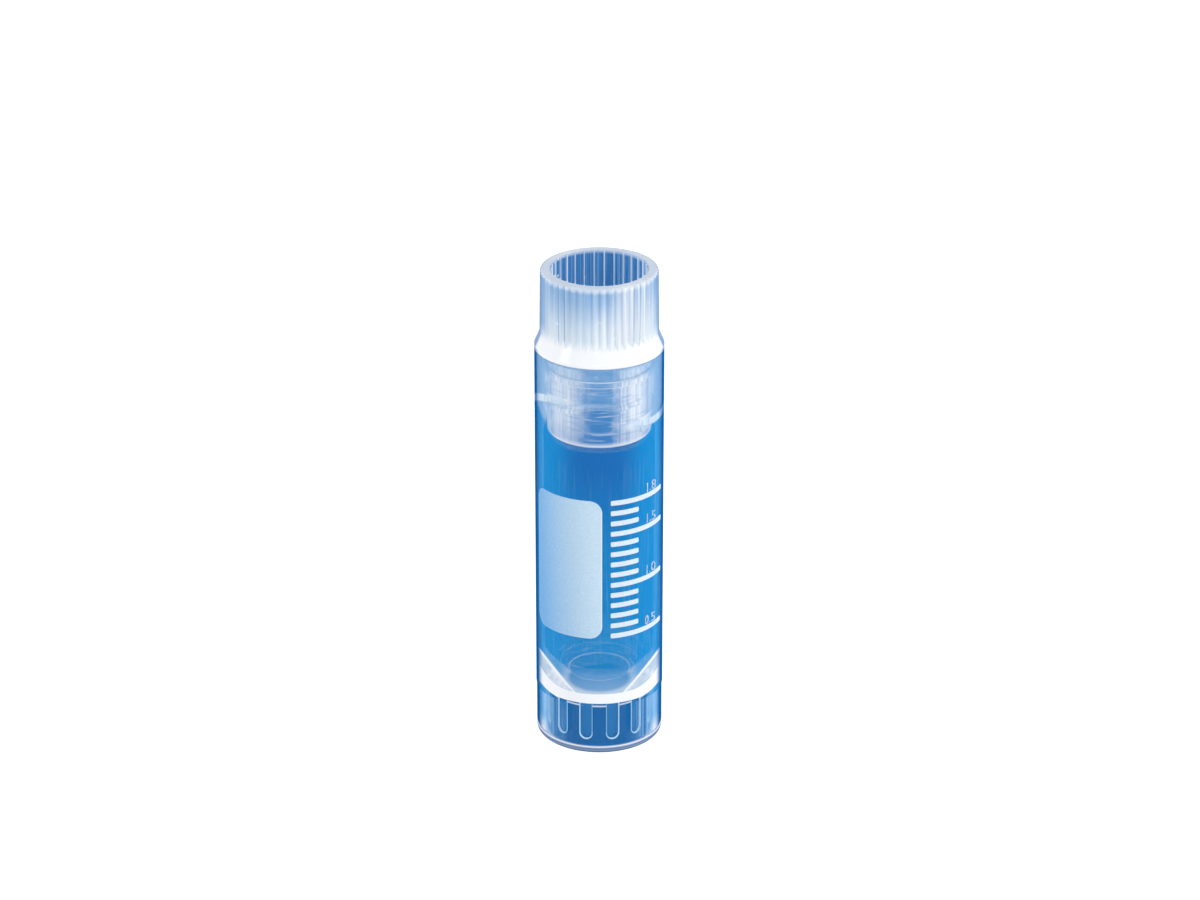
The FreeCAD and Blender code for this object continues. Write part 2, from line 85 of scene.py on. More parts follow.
# Colours. Where there are two, the second is on the streaks or the grain.
WHITE = (0.93, 0.96, 1.0)
BASE_SHADE = (0.05, 0.09, 0.17)
BASE_LIP = (0.4, 0.52, 0.66)
FOOT_BLUE = (0.0, 0.1, 0.34)
FLOOR_BLUE = (0.03, 0.27, 0.62)
CONE_HAZE = (0.36, 0.58, 0.82)
CONE_HAZE_TOP = (0.2, 0.45, 0.78)
MOUTH_RIM = (0.3, 0.42, 0.6)
MOUTH_SIDE = (0.09, 0.31, 0.64)
SKIRT_SIDE = ((0.05, 0.31, 0.69), (0.32, 0.56, 0.87))
SKIRT_RIM = ((0.07, 0.35, 0.75), (0.27, 0.55, 0.89))
PEARLY_GLOW = ((0.46, 0.6, 0.77), (0.84, 0.9, 0.97))
THREAD_PALE = (0.7, 0.83, 0.94)
RIB_TIP_BLUE = (0.02, 0.19, 0.5)
RIB_LINE = (0.55, 0.83, 1.0)
SILICONE = ((0.25, 0.48, 0.78), (0.5, 0.7, 0.9))
PLUG_END_BLUE = (0.03, 0.22, 0.58)
KNOB_LIP = (0.7, 0.79, 0.91)
KNOB_MILK = (0.72, 0.82, 0.91)
KNOB_LOW = (0.62, 0.75, 0.89)
KNOB_MIDDLE = (0.46, 0.63, 0.84)
KNOB_HIGH = (0.36, 0.56, 0.82)
KNOB_SHADE = (0.22, 0.42, 0.7)
KNOB_LINE = (0.14, 0.3, 0.57)
RECESS_RIB = (0.36, 0.56, 0.82)
RECESS_STREAK = (0.2, 0.45, 0.76)


def color_property(name, description, default):
    return FloatVectorProperty(
        name=name, description=description, subtype="COLOR", size=3, min=0.0, max=1.0, default=default
    )


class TubeSettings(bpy.types.PropertyGroup):
    """The tube's plastic."""

    deep: color_property("Deep blue", "Colour of the wall below the plug and of the bore", (0.0, 0.145, 0.48))
    middle: color_property("Middle blue", "Colour of the wall lower down", (0.0, 0.25, 0.6))
    side: color_property("Side blue", "Colour of the wall where it is seen along its face", (0.0, 0.28, 0.68))
    mouth: color_property("Mouth", "Colour of the wall round the plug", (0.08, 0.38, 0.72))
    rim: color_property("Rim blue", "Colour of the line down each side of the wall", (0.0, 0.12, 0.37))
    body: FloatProperty(
        name="Body", description="How much of the wall hides what is behind", default=0.78, min=0.0, max=1.0
    )
    roughness: FloatProperty(name="Roughness", description="Roughness of the tube", default=0.12, min=0.0, max=1.0)


class CapSettings(bpy.types.PropertyGroup):
    """The cap's plastic."""

    recess: color_property("Recess", "Colour of the recess's panels", (0.0, 0.15, 0.45))
    pale: color_property("Pale", "Colour of the knob", (0.34, 0.57, 0.86))
    plug: color_property("Plug", "Colour of the plug", (0.05, 0.27, 0.61))
    roughness: FloatProperty(name="Roughness", description="Roughness of the cap", default=0.22, min=0.0, max=1.0)


class PrintSettings(bpy.types.PropertyGroup):
    """The printed patch and scale."""

    patch: color_property("Patch", "Colour of the frosted patch", (0.52, 0.71, 0.87))
    # the patch is painted darker to the left and lighter towards the front, where a highlight is painted
    patch_away_from_highlight: color_property("Thin ink", "Colour of the patch where its ink is thin", (0.12, 0.38, 0.74))
    scale: color_property("Scale", "Colour of the scale's lines", (0.68, 0.8, 0.95))
    line: FloatProperty(name="Line", description="Height of a printed line", default=0.0005, unit="LENGTH")
    ink: FloatProperty(
        name="Ink", description="Half the ink's thickness in the numbers", default=0.00001, unit="LENGTH"
    )
    number_size: FloatProperty(
        name="Number size", description="Size of the numbers' type", default=0.0014, unit="LENGTH"
    )
    number_lift: FloatProperty(
        name="Number lift", description="From a line to its number", default=0.0001, unit="LENGTH"
    )
    number_turn: FloatProperty(
        name="Number turn",
        description="Where the numbers are, round from the front",
        default=math.radians(52),
        subtype="ANGLE",
    )


class StageSettings(bpy.types.PropertyGroup):
    """Floor, lights and camera."""

    aim_height: FloatProperty(
        name="Aim height", description="Where the camera looks", default=0.03004, unit="LENGTH"
    )
    distance: FloatProperty(name="Distance", description="From the camera to its aim", default=0.4, unit="LENGTH")
    elevation: FloatProperty(
        name="Elevation", description="How far the camera looks down", default=math.radians(23.99), subtype="ANGLE"
    )
    lens: FloatProperty(name="Lens", description="Focal length in millimetres", default=123.8)
    power: FloatProperty(name="Power", description="Power of each lamp in watts", default=0.7, min=0.0)


class Nodes:
    """Places nodes in one tree, a line of maths at a time."""

    MIX_NUMBERS, MIX_COLORS = (2, 3), (6, 7)  # the Mix node's inputs for two numbers, and for two colours
    MIXED_NUMBER, MIXED_COLOR = 0, 2  # its outputs for them

    def __init__(self, tree):
        self.tree = tree

    def put(self, socket, value):
        if isinstance(value, bpy.types.NodeSocket):
            self.tree.links.new(value, socket)
        elif not isinstance(value, (int, float)) and len(value) == 3 and len(socket.default_value) == 4:
            socket.default_value = (*value, 1.0)
        else:
            socket.default_value = value

    def new(self, kind, **settings):
        node = self.tree.nodes.new("ShaderNode" + kind)
        for key, value in settings.items():
            setattr(node, key, value)
        return node

    def math(self, operation, *values):
        node = self.new("Math", operation=operation)
        for socket, value in zip(node.inputs, values):
            self.put(socket, value)
        return node.outputs[0]

    def times(self, first, *rest):
        """Where all of several masks lie, or a mask made weaker."""
        for value in rest:
            first = self.math("MULTIPLY", first, value)
        return first

    def most(self, first, *rest):
        """The strongest of several masks."""
        for value in rest:
            first = self.math("MAXIMUM", first, value)
        return first

    def less(self, value, amount):
        return self.math("SUBTRACT", value, amount)

    def line(self, value, slope, start):
        """A straight line: the value times its slope, from where it starts."""
        return self.math("MULTIPLY_ADD", value, slope, start)

    def vector(self, operation, *values):
        node = self.new("VectorMath", operation=operation)
        for socket, value in zip(node.inputs, values):
            self.put(socket, value)
        return node.outputs[0]

    def step(self, value, low, high, to_low=0.0, to_high=1.0):
        """A smooth step from to_low at low to to_high at high."""
        node = self.new("MapRange", interpolation_type="SMOOTHSTEP")
        for name, number in (
            ("Value", value), ("From Min", low), ("From Max", high), ("To Min", to_low), ("To Max", to_high)
        ):
            self.put(node.inputs[name], number)
        return node.outputs["Result"]

    def band(self, value, low, high, soft):
        """One between low and high, and nothing past them."""
        return self.times(self.step(value, low - soft, low + soft), self.step(value, high + soft, high - soft))

    def mix(self, factor, a, b):
        """A colour between a and b."""
        node = self.new("Mix", data_type="RGBA")
        for socket, value in zip((0, *self.MIX_COLORS), (factor, a, b)):
            self.put(node.inputs[socket], value)
        return node.outputs[self.MIXED_COLOR]

    def blend(self, factor, a, b):
        """A number between a and b."""
        node = self.new("Mix", data_type="FLOAT")
        for socket, value in zip((0, *self.MIX_NUMBERS), (factor, a, b)):
            self.put(node.inputs[socket], value)
        return node.outputs[self.MIXED_NUMBER]

    def watched(self):
        """One for what the eye sees straight, in a gloss or through clear plastic, and nothing for the light."""
        path = self.new("LightPath").outputs
        return self.most(path["Is Camera Ray"], self.most(path["Is Glossy Ray"], path["Is Transmission Ray"]))

    def group(self, name, **values):
        node = self.new("Group", node_tree=bpy.data.node_groups[name])
        for key, value in values.items():
            self.put(node.inputs[key], value)
        return node.outputs


class Layer:
    """A colour and how much it hides. More looks are laid over it one by one."""

    def __init__(self, nodes, color, cover=None):
        self.nodes = nodes
        self.color = color
        self.cover = cover

    def lay(self, mask, color, tint=None, hides=None):
        """Lays a colour where the mask is, as strong as tint says. It hides there at least what hides says."""
        strength = mask if tint is None else self.nodes.times(mask, tint)
        self.color = self.nodes.mix(strength, self.color, color)
        if hides is not None:
            self.cover = self.nodes.most(self.cover, mask if hides == 1.0 else self.nodes.times(mask, hides))

    def change(self, mask, other):
        """This layer, and the other one where the mask is."""
        color = self.nodes.mix(mask, self.color, other.color)
        return Layer(self.nodes, color, self.nodes.blend(mask, self.cover, other.cover))


class Look(Nodes):
    """One material: its shader, and the nodes that feed it."""

    LIGHT_STOPPED = 0.2  # what clear plastic stops of the light, as a share of what it hides from the eye

    def __init__(self, name, **constants):
        self.material = bpy.data.materials.new(name)
        self.material.use_nodes = True
        super().__init__(self.material.node_tree)
        self.shader = self.tree.nodes["Principled BSDF"]
        self.feed(**constants)

    def feed(self, **values):
        """Sets or links the shader's own sockets."""
        for key, value in values.items():
            self.put(self.shader.inputs[key.replace("_", " ")], value)

    def dress(self, piece):
        for slot in bpy.data.objects[piece].material_slots:
            slot.material = self.material

    def locate(self):
        """Finds where a point is on the vial, how it is seen, and which side of the plastic it is on."""
        place = self.group("place")
        self.radius, self.height, self.turn = place["Radius"], place["Height"], place["Turn"]
        self.facing = self.turned_from_eye()
        self.rounding = self.turned_from_eye(place["Round"])
        self.inward = self.new("NewGeometry").outputs["Backfacing"]

    def turned_from_eye(self, direction=None):
        """How far the surface, or the given direction in the object's own space, turns from the eye."""
        node = self.new("LayerWeight")
        if direction is not None:
            turned = self.new("VectorTransform", vector_type="NORMAL", convert_from="OBJECT", convert_to="WORLD")
            self.put(turned.inputs[0], direction)
            self.put(node.inputs["Normal"], turned.outputs[0])
        return node.outputs["Facing"]

    def ramp(self, height, stops):
        """A layer by height: each stop is a height in millimetres, a colour and how much it hides."""
        node = self.new("ValToRGB")
        self.put(node.inputs[0], self.math("DIVIDE", height, RAMP_HEIGHT))
        marks = node.color_ramp.elements
        while len(marks) < len(stops):
            marks.new(1.0)
        for mark, (place, color, cover) in zip(marks, stops):
            mark.position = place / RAMP_HEIGHT
            mark.color = (*color, cover)
        return Layer(self, node.outputs["Color"], node.outputs["Alpha"])

    def let_light_through(self, cover):
        """Cover that hides less from the light than from the eye, because light spreads through clear plastic."""
        path = self.new("LightPath").outputs
        light = self.most(path["Is Shadow Ray"], path["Is Diffuse Ray"])
        return self.times(cover, self.blend(light, 1.0, self.LIGHT_STOPPED))


def new_group(name, inputs, outputs):
    tree = bpy.data.node_groups.new(name, "ShaderNodeTree")
    for key, default in inputs.items():
        socket = tree.interface.new_socket(key, in_out="INPUT", socket_type="NodeSocketFloat")
        socket.default_value = default
    for key, kind in outputs.items():
        tree.interface.new_socket(key, in_out="OUTPUT", socket_type="NodeSocket" + kind)
    given = tree.nodes.new("NodeGroupInput").outputs
    result = tree.nodes.new("NodeGroupOutput").inputs
    return Nodes(tree), given, result


def place_group():
    """Where a point is on the vial: how far from the axis, how high, and in which direction round it."""
    outputs = {"Radius": "Float", "Height": "Float", "Turn": "Float", "Round": "Vector"}
    nodes, _, result = new_group("place", {}, outputs)
    where = nodes.new("SeparateXYZ")
    nodes.put(where.inputs[0], nodes.new("TexCoord").outputs["Object"])
    x, y, z = where.outputs
    flat = nodes.new("CombineXYZ")
    nodes.put(flat.inputs[0], x)
    nodes.put(flat.inputs[1], y)
    length = nodes.new("VectorMath", operation="LENGTH")
    nodes.put(length.inputs[0], flat.outputs[0])
    nodes.put(result["Radius"], nodes.times(length.outputs["Value"], MM))
    nodes.put(result["Height"], nodes.times(z, MM))
    nodes.put(result["Turn"], nodes.math("ARCTAN2", y, x))
    nodes.put(result["Round"], nodes.vector("NORMALIZE", flat.outputs[0]))


def noise_round_vial(nodes, direction, density, rise, detail):
    """Noise that meets itself all the way round the vial. More density makes it narrower round the vial."""
    spread = nodes.vector("SCALE", direction)
    nodes.put(spread.node.inputs["Scale"], density)
    up = nodes.new("CombineXYZ")
    nodes.put(up.inputs[2], rise)
    noise = nodes.new("TexNoise")
    nodes.put(noise.inputs["Vector"], nodes.vector("ADD", spread, up.outputs[0]))
    nodes.put(noise.inputs["Scale"], 1.0)
    nodes.put(noise.inputs["Detail"], detail)
    return noise.outputs[0]


STREAK_DETAIL = 3.0
STREAK_EDGE = (0.3, 0.7)


def streaks_group():
    """Upright streaks, which run the height of the plastic and drift slowly."""
    nodes, given, result = new_group("streaks", {"Density": 12.0, "Drift": 0.05, "Seed": 0.0}, {"Streaks": "Float"})
    place = nodes.group("place")
    rise = nodes.line(place["Height"], given["Drift"], given["Seed"])
    noise = noise_round_vial(nodes, place["Round"], given["Density"], rise, STREAK_DETAIL)
    nodes.put(result["Streaks"], nodes.step(noise, *STREAK_EDGE))


TURNED_DENSITY = 1.6
TURNED_TILT = 0.25
TURNED_LINES_PER_MM = 4.5
TURNED_DETAIL = 2.0
TURNED_EDGE = (0.56, 0.72)


def turned_lines_group():
    """The fine level lines of turning, broken here and there."""
    nodes, _, result = new_group("turned lines", {}, {"Lines": "Float"})
    place = nodes.group("place")
    tilt = nodes.times(nodes.math("SINE", place["Turn"]), TURNED_TILT)
    rise = nodes.times(nodes.math("ADD", place["Height"], tilt), TURNED_LINES_PER_MM)
    noise = noise_round_vial(nodes, place["Round"], TURNED_DENSITY, rise, TURNED_DETAIL)
    nodes.put(result["Lines"], nodes.step(noise, *TURNED_EDGE))


def foot_ribs_group():
    """How far a point round the foot is from the middle line of its nearest rib, whose lower end is round."""
    nodes, _, result = new_group("foot ribs", {}, {"Edge": "Float"})
    place = nodes.group("place")
    share = 2 * math.pi / FOOT_RIBS
    aside = nodes.less(nodes.math("FLOORED_MODULO", place["Turn"], share), share / 2)
    across = nodes.times(place["Radius"], nodes.math("SINE", aside))
    down = nodes.math("MINIMUM", nodes.less(place["Height"], RIB_END), 0.0)
    squares = nodes.math("ADD", nodes.times(across, across), nodes.times(down, down))
    nodes.put(result["Edge"], nodes.math("SQRT", squares))


GRAIN_DETAIL = 4.0
GRAIN_ROUGHNESS = 0.7
GRAIN_EDGE = (0.42, 0.7)


def frost_group():
    """The fine uneven grain of a frosted or printed surface."""
    nodes, given, result = new_group("frost", {"Fineness": 9000.0}, {"Frost": "Float"})
    grain = nodes.new("TexNoise")
    nodes.put(grain.inputs["Vector"], nodes.new("TexCoord").outputs["Object"])
    nodes.put(grain.inputs["Scale"], given["Fineness"])
    nodes.put(grain.inputs["Detail"], GRAIN_DETAIL)
    nodes.put(grain.inputs["Roughness"], GRAIN_ROUGHNESS)
    nodes.put(result["Frost"], nodes.step(grain.outputs[0], *GRAIN_EDGE))


SPECK_EDGE = (0.32, 0.12)


def specks_group():
    """Small pale specks, scattered at random."""
    nodes, given, result = new_group("specks", {"Fineness": 900.0, "Share": 0.1}, {"Specks": "Float"})
    cells = nodes.new("TexVoronoi")
    nodes.put(cells.inputs["Vector"], nodes.new("TexCoord").outputs["Object"])
    nodes.put(cells.inputs["Scale"], given["Fineness"])
    kept = nodes.new("SeparateColor")
    nodes.put(kept.inputs[0], cells.outputs["Color"])
    chosen = nodes.math("LESS_THAN", kept.outputs[0], given["Share"])
    nodes.put(result["Specks"], nodes.times(chosen, nodes.step(cells.outputs["Distance"], *SPECK_EDGE)))


def add_floor():
    bpy.ops.object.select_all(action="DESELECT")
    bpy.ops.mesh.primitive_plane_add(size=FLOOR_SIZE, location=(0, 0, 0))
    floor = bpy.context.active_object
    floor.name = "floor"
    look = Look("floor_look", Base_Color=FLOOR_GREY, Roughness=0.6, Emission_Color=STUDIO_WHITE)
    look.feed(Emission_Strength=look.times(look.watched(), FLOOR_GLOW))
    floor.data.materials.append(look.material)


def light_room(scene):
    world = bpy.data.worlds.new("studio")
    scene.world = world
    world.use_nodes = True
    nodes = Nodes(world.node_tree)
    background = world.node_tree.nodes["Background"]
    nodes.put(background.inputs["Color"], STUDIO_WHITE)
    nodes.put(background.inputs["Strength"], nodes.blend(nodes.watched(), ROOM_LIGHT, SEEN_ROOM_LIGHT))


def turn_to(item, aim):
    item.rotation_euler = (aim - item.location).to_track_quat("-Z", "Y").to_euler()


def add_lamps(collection, power):
    for name, side, share in LAMPS:
        lamp = bpy.data.lights.new(name, "AREA")
        lamp.shape = "RECTANGLE"
        lamp.size, lamp.size_y = LAMP_WIDTH, LAMP_HEIGHT
        lamp.energy = power * share
        item = bpy.data.objects.new(name, lamp)
        item.location = (side * LAMP_ASIDE, LAMP_Y, LAMP_Z)
        turn_to(item, LAMP_AIM)
        collection.objects.link(item)


def add_camera(scene, collection, settings):
    camera = bpy.data.objects.new("camera", bpy.data.cameras.new("camera"))
    camera.data.lens = settings.lens
    camera.data.shift_x = CAMERA_SHIFT
    aim = Vector((0, 0, settings.aim_height))
    offset = Vector((0, -math.cos(settings.elevation), math.sin(settings.elevation)))
    camera.location = aim + settings.distance * offset
    turn_to(camera, aim)
    collection.objects.link(camera)
    scene.camera = camera


class CRYOVIAL_OT_stage(bpy.types.Operator):
    """Sets up the floor, the lights and the camera"""

    bl_idname = "cryovial.stage"
    bl_label = "Stage"

    def execute(self, context):
        scene = context.scene
        settings = scene.cryovial_stage
        add_floor()
        light_room(scene)
        add_lamps(context.collection, settings.power)
        add_camera(scene, context.collection, settings)
        scene.view_settings.view_transform = "Standard"
        scene.cycles.max_bounces = BOUNCES
        scene.cycles.transparent_max_bounces = CLEAR_BOUNCES
        return {"FINISHED"}


class CRYOVIAL_OT_effects(bpy.types.Operator):
    """Builds the effects that the materials share"""

    bl_idname = "cryovial.effects"
    bl_label = "Shared effects"

    def execute(self, context):
        place_group()
        streaks_group()
        turned_lines_group()
        foot_ribs_group()
        frost_group()
        specks_group()
        return {"FINISHED"}


BLUE_LIFT = 2.6  # how much higher the wall's blue reaches to each side
BLUE_LIFT_SEEN = (0.2, 0.75)
BLUE_LIFT_START = (25.0, 31.0)
BLUE_LIFT_END = (40.5, 36.5)


def wall_level(look):
    """Height for the wall's colours. Round the plug its blue reaches higher to each side."""
    upper = look.times(look.step(look.height, *BLUE_LIFT_START), look.step(look.height, *BLUE_LIFT_END))
    return look.line(look.times(look.step(look.facing, *BLUE_LIFT_SEEN), upper), -BLUE_LIFT, look.height)


DEPTH_SEEN = (0.09, 0.32)
DEPTH_START = (6.8, 8.5)
DEPTH_END = (33.1, 32.8)


def deepen_wall(look, wall, level, side):
    """A long way through the wall deepens its colour, as in any clear plastic."""
    start = look.step(look.height, *DEPTH_START)
    turned_away = look.times(look.step(look.facing, *DEPTH_SEEN), start, look.step(level, *DEPTH_END))
    wall.lay(turned_away, side, tint=0.8, hides=0.85)


SKIRT_SEEN = (0.15, 0.36)
SKIRT_BAND = (1.1, 5.3, 0.15)
SKIRT_COVER = (0.35, 0.68)  # between streaks, and on them
GLANCE_SEEN = (0.25, 0.6)
SKIRT_TOP = (5.3, 5.0)
MOUTH_START = (32.8, 33.4)
GLANCE_COVER = (0.96, 0.84)  # below the plug's end, and round the plug


def pale_sides(look, wall, level, side, flows, above_base):
    """The foot's skirt is paler and streaked to each side, and the wall is denser there."""
    skirt = look.times(look.step(look.facing, *SKIRT_SEEN), look.band(look.height, *SKIRT_BAND))
    wall.lay(skirt, look.mix(flows, *SKIRT_SIDE), hides=look.blend(flows, *SKIRT_COVER))
    glancing = look.times(look.step(look.facing, *GLANCE_SEEN), above_base)
    color = look.mix(look.step(look.height, *SKIRT_TOP), side, look.mix(flows, *SKIRT_RIM))
    color = look.mix(look.step(level, *MOUTH_START), color, MOUTH_SIDE)
    wall.lay(glancing, color, tint=0.9, hides=look.step(level, *MOUTH_START, *GLANCE_COVER))


LEVEL_SHARE = 0.9137  # how far an upright wall faces a camera that looks down 24 degrees: the cosine of that angle
WEDGE_MIDDLE, WEDGE_TOWARD, WEDGE_ACROSS = 0.34, 2.78, 8.9
WEDGE_EDGE = (0.1, -0.08)
BELT_EDGE = (6.76, 6.6)
BELT_TOP, BELT_TOP_RISE = 6.66, 1.1
BELT_TOP_SEEN = (0.2, 0.75)
BELT_TOP_EDGE = (0.07, -0.07)
WEDGE_LINE_BAND, WEDGE_LINE_WHITE = (-0.4, -0.04, 0.14), 0.9
SKIRT_JOIN, SKIRT_JOIN_RISE = 5.58, 0.4
SKIRT_JOIN_SEEN = (0.3, 0.7)
SKIRT_JOIN_EDGE = (-0.06, 0.06)
WEDGE_GLOW_COVER = (0.85, 1.0)  # beside the cone, and in the belt


def painted_wedge_glow(look, wall):
    """Painted light beside the inner floor, where the wall bends the light from the floor and its cone: a milky-looking
    wedge that climbs towards each side, with a white belt below it.
    """
    toward = look.math("MINIMUM", look.math("DIVIDE", look.less(1.0, look.facing), LEVEL_SHARE), 1.0)
    across = look.math("SQRT", look.less(1.0, look.times(toward, toward)))
    slope = look.line(across, WEDGE_ACROSS, look.line(toward, WEDGE_TOWARD, WEDGE_MIDDLE))
    over_slope = look.less(look.height, slope)
    join = look.line(look.step(look.facing, *SKIRT_JOIN_SEEN), SKIRT_JOIN_RISE, SKIRT_JOIN)
    above_join = look.step(look.less(look.height, join), *SKIRT_JOIN_EDGE)
    filled = look.most(look.step(over_slope, *WEDGE_EDGE), look.step(look.height, *BELT_EDGE))
    belt_top = look.line(look.step(look.facing, *BELT_TOP_SEEN), BELT_TOP_RISE, BELT_TOP)
    wedge_line = look.times(look.band(over_slope, *WEDGE_LINE_BAND), WEDGE_LINE_WHITE)
    belt = look.most(look.step(look.less(look.height, belt_top), *BELT_TOP_EDGE), wedge_line)
    pearly_glow = look.mix(look.group("frost", Fineness=420.0)["Frost"], *PEARLY_GLOW)
    milk_and_painted_light = look.times(above_join, filled)
    wall.lay(milk_and_painted_light, look.mix(belt, pearly_glow, WHITE), hides=look.blend(belt, *WEDGE_GLOW_COVER))


THREAD_MIDDLE, THREAD_EAST = 35.43, -0.19
THREAD_CLIMB_EAST, THREAD_CLIMB = 2.04, -0.89
THREAD_EDGE = (0.5, 0.25)
THREAD_FRONT = (-0.97, -0.72)  # by north, which is -1 at the front
THREAD_BACK = (0.3, 0.1)
THREAD_STREAKS = (0.7, 0.9)
THREAD_ON_RIM_LINE = (1.0, 0.2)  # beside the rim line, and on it


def thread_in_wall(look, wall, flows, rim_line):
    """The thread ridge shows as a pale band towards each side, where the wall magnifies it."""
    east, north = look.math("COSINE", look.turn), look.math("SINE", look.turn)
    climb = look.times(north, look.line(east, THREAD_CLIMB_EAST, THREAD_CLIMB))
    level = look.math("ADD", look.line(east, THREAD_EAST, THREAD_MIDDLE), climb)
    apart = look.math("ABSOLUTE", look.less(look.height, level))
    thread = look.times(
        look.step(apart, *THREAD_EDGE), look.step(north, *THREAD_FRONT), look.step(north, *THREAD_BACK),
        look.blend(flows, *THREAD_STREAKS), look.blend(rim_line, *THREAD_ON_RIM_LINE),
    )
    wall.lay(thread, THREAD_PALE, hides=0.92)


BASE_TOP = (0.9, 1.1)
CORNER_EDGE = (3.0, 0.9)
CORNER_SEEN = (0.45, 0.62)
RIM_LINE_SEEN = (0.58, 0.78)


def wall_near(look, settings, flows):
    """The wall's outer face, seen from outside."""
    deep, middle, side, mouth, body = settings.deep, settings.middle, settings.side, settings.mouth, settings.body
    level = wall_level(look)
    # the white from 0.66 to 0.78 mm is a painted highlight line round the base
    wall = look.ramp(level, (
        (0.0, BASE_SHADE, 0.95), (0.2, BASE_SHADE, 0.95), (0.32, BASE_LIP, 0.9), (0.46, FOOT_BLUE, 0.9),
        (0.58, FOOT_BLUE, 0.9), (0.66, WHITE, 1.0), (0.78, WHITE, 1.0), (0.88, side, 0.15), (5.6, side, 0.15),
        (6.6, CONE_HAZE, 0.62), (7.3, CONE_HAZE, 0.45), (8.6, CONE_HAZE_TOP, 0.5), (9.6, middle, 0.55),
        (12.0, middle, body), (22.0, middle, body), (30.5, deep, body), (32.5, deep, body), (32.75, mouth, 0.05),
        (40.8, mouth, 0.08), (41.05, MOUTH_RIM, 0.8),
    ))
    above_base = look.step(look.height, *BASE_TOP)
    deepen_wall(look, wall, level, side)
    pale_sides(look, wall, level, side, flows, above_base)
    painted_wedge_glow(look, wall)
    # painted glow at the skirt's lower corner, towards each side
    corner_glow = look.times(look.step(look.height, *CORNER_EDGE), above_base, look.step(look.facing, *CORNER_SEEN))
    wall.lay(corner_glow, WHITE, tint=0.8)
    rim_line = look.times(look.step(look.facing, *RIM_LINE_SEEN), above_base)
    wall.lay(rim_line, settings.rim, hides=1.0)
    thread_in_wall(look, wall, flows, rim_line)
    return wall


STEP_RING_BAND = (5.28, 5.32, 0.01)
STEP_RING_RADIUS = (6.245, 6.235)


def wall_far(look, settings):
    """The wall's outer face, seen from within, with a belt of painted white glow beside the inner floor's cone."""
    deep, middle, mouth = settings.deep, settings.middle, settings.mouth
    # the white from 4.5 to 9 mm is painted glow beside the inner floor's cone
    wall = look.ramp(look.height, (
        (0.0, FOOT_BLUE, 0.3), (4.2, FOOT_BLUE, 0.3), (4.5, WHITE, 0.95), (9.0, WHITE, 0.9), (10.2, middle, 0.4),
        (32.0, deep, 0.4), (33.0, mouth, 0.25), (41.0, mouth, 0.25),
    ))
    # the narrow step where the wall meets the skirt stays clear
    step_ring = look.times(look.band(look.height, *STEP_RING_BAND), look.step(look.radius, *STEP_RING_RADIUS))
    wall.cover = look.blend(step_ring, wall.cover, 0.0)
    return wall


FLOOR_UNDERSIDE = (5.36, 5.5)
FAR_BORE_COVER = 0.2


def tube_inside(look, settings):
    """The bore, the inner floor and the foot's inside. The bore hides less where it is seen from within the wall."""
    deep, mouth = settings.deep, settings.mouth
    inside = look.ramp(look.height, (
        (0.0, FOOT_BLUE, 0.7), (0.4, FOOT_BLUE, 0.98), (5.2, FOOT_BLUE, 0.98), (5.28, FLOOR_BLUE, 1.0),
        (5.4, FLOOR_BLUE, 1.0), (5.6, FLOOR_BLUE, 0.85), (9.0, FLOOR_BLUE, 0.85), (9.6, deep, 0.92),
        (32.3, deep, 0.92), (33.0, mouth, 0.05), (41.0, mouth, 0.08),
    ))
    clear = look.blend(look.step(look.height, *FLOOR_UNDERSIDE), 1.0, FAR_BORE_COVER)
    inside.cover = look.times(inside.cover, look.blend(look.inward, 1.0, clear))
    return inside


FOOT_TOP = (5.28, 5.2)
FOOT_SIDE = (5.9, 5.8)
RIB_LINE_BAND = (0.55, 0.675, 0.025)  # from the middle line of a rib
RIB_ROOT = (4.9, 5.0)
RIB_END_LINE = (2.3, 1.7)
RIB_LINE_SEEN = (0.09, 0.2)
RIB_LINE_STRENGTH = (0.5, 1.0)  # of a line seen straight on, and towards each side
RIB_TIP = (4.9, 4.6)
RIB_TIP_START = (4.3, 4.36)
BETWEEN_RIBS = (0.62, 0.7)
BETWEEN_RIBS_BAND, BETWEEN_RIBS_WHITE = (4.66, 4.82, 0.04), 0.85
UNDERSIDE_BAND = (5.25, 5.36, 0.02)
UNDERSIDE_RING = (3.1, 5.4, 0.4)
RIB_TOP_START = (4.85, 4.95)
RIB_TOP_END = (5.36, 5.3)
RIB_TOP_RING = (4.3, 5.06, 0.03)


def foot_ribs(look, surface):
    """The foot's ribs: the outline where their flanks leave the skirt, and what is white at their tops."""
    in_foot = look.times(look.step(look.height, *FOOT_TOP), look.step(look.radius, *FOOT_SIDE))
    from_middle = look.group("foot ribs")["Edge"]
    turned = look.step(look.rounding, *RIB_LINE_SEEN, *RIB_LINE_STRENGTH)
    strength = look.most(look.step(look.height, *RIB_END_LINE), turned)
    at_root = look.step(look.radius, *RIB_ROOT)
    outline = look.times(look.band(from_middle, *RIB_LINE_BAND), at_root, in_foot, strength)
    tip = look.times(in_foot, look.step(look.radius, *RIB_TIP))
    surface.lay(look.times(tip, look.step(look.radius, *RIB_TIP_START)), RIB_TIP_BLUE)
    high = look.band(look.height, *BETWEEN_RIBS_BAND)
    between = look.times(look.step(from_middle, *BETWEEN_RIBS), high, in_foot, BETWEEN_RIBS_WHITE)
    underside = look.times(look.band(look.height, *UNDERSIDE_BAND), look.band(look.radius, *UNDERSIDE_RING))
    ring = look.times(look.inward, look.band(look.radius, *RIB_TOP_RING))
    tops = look.times(look.step(look.height, *RIB_TOP_START), ring, look.step(look.height, *RIB_TOP_END))
    return outline, look.most(between, underside, tops)


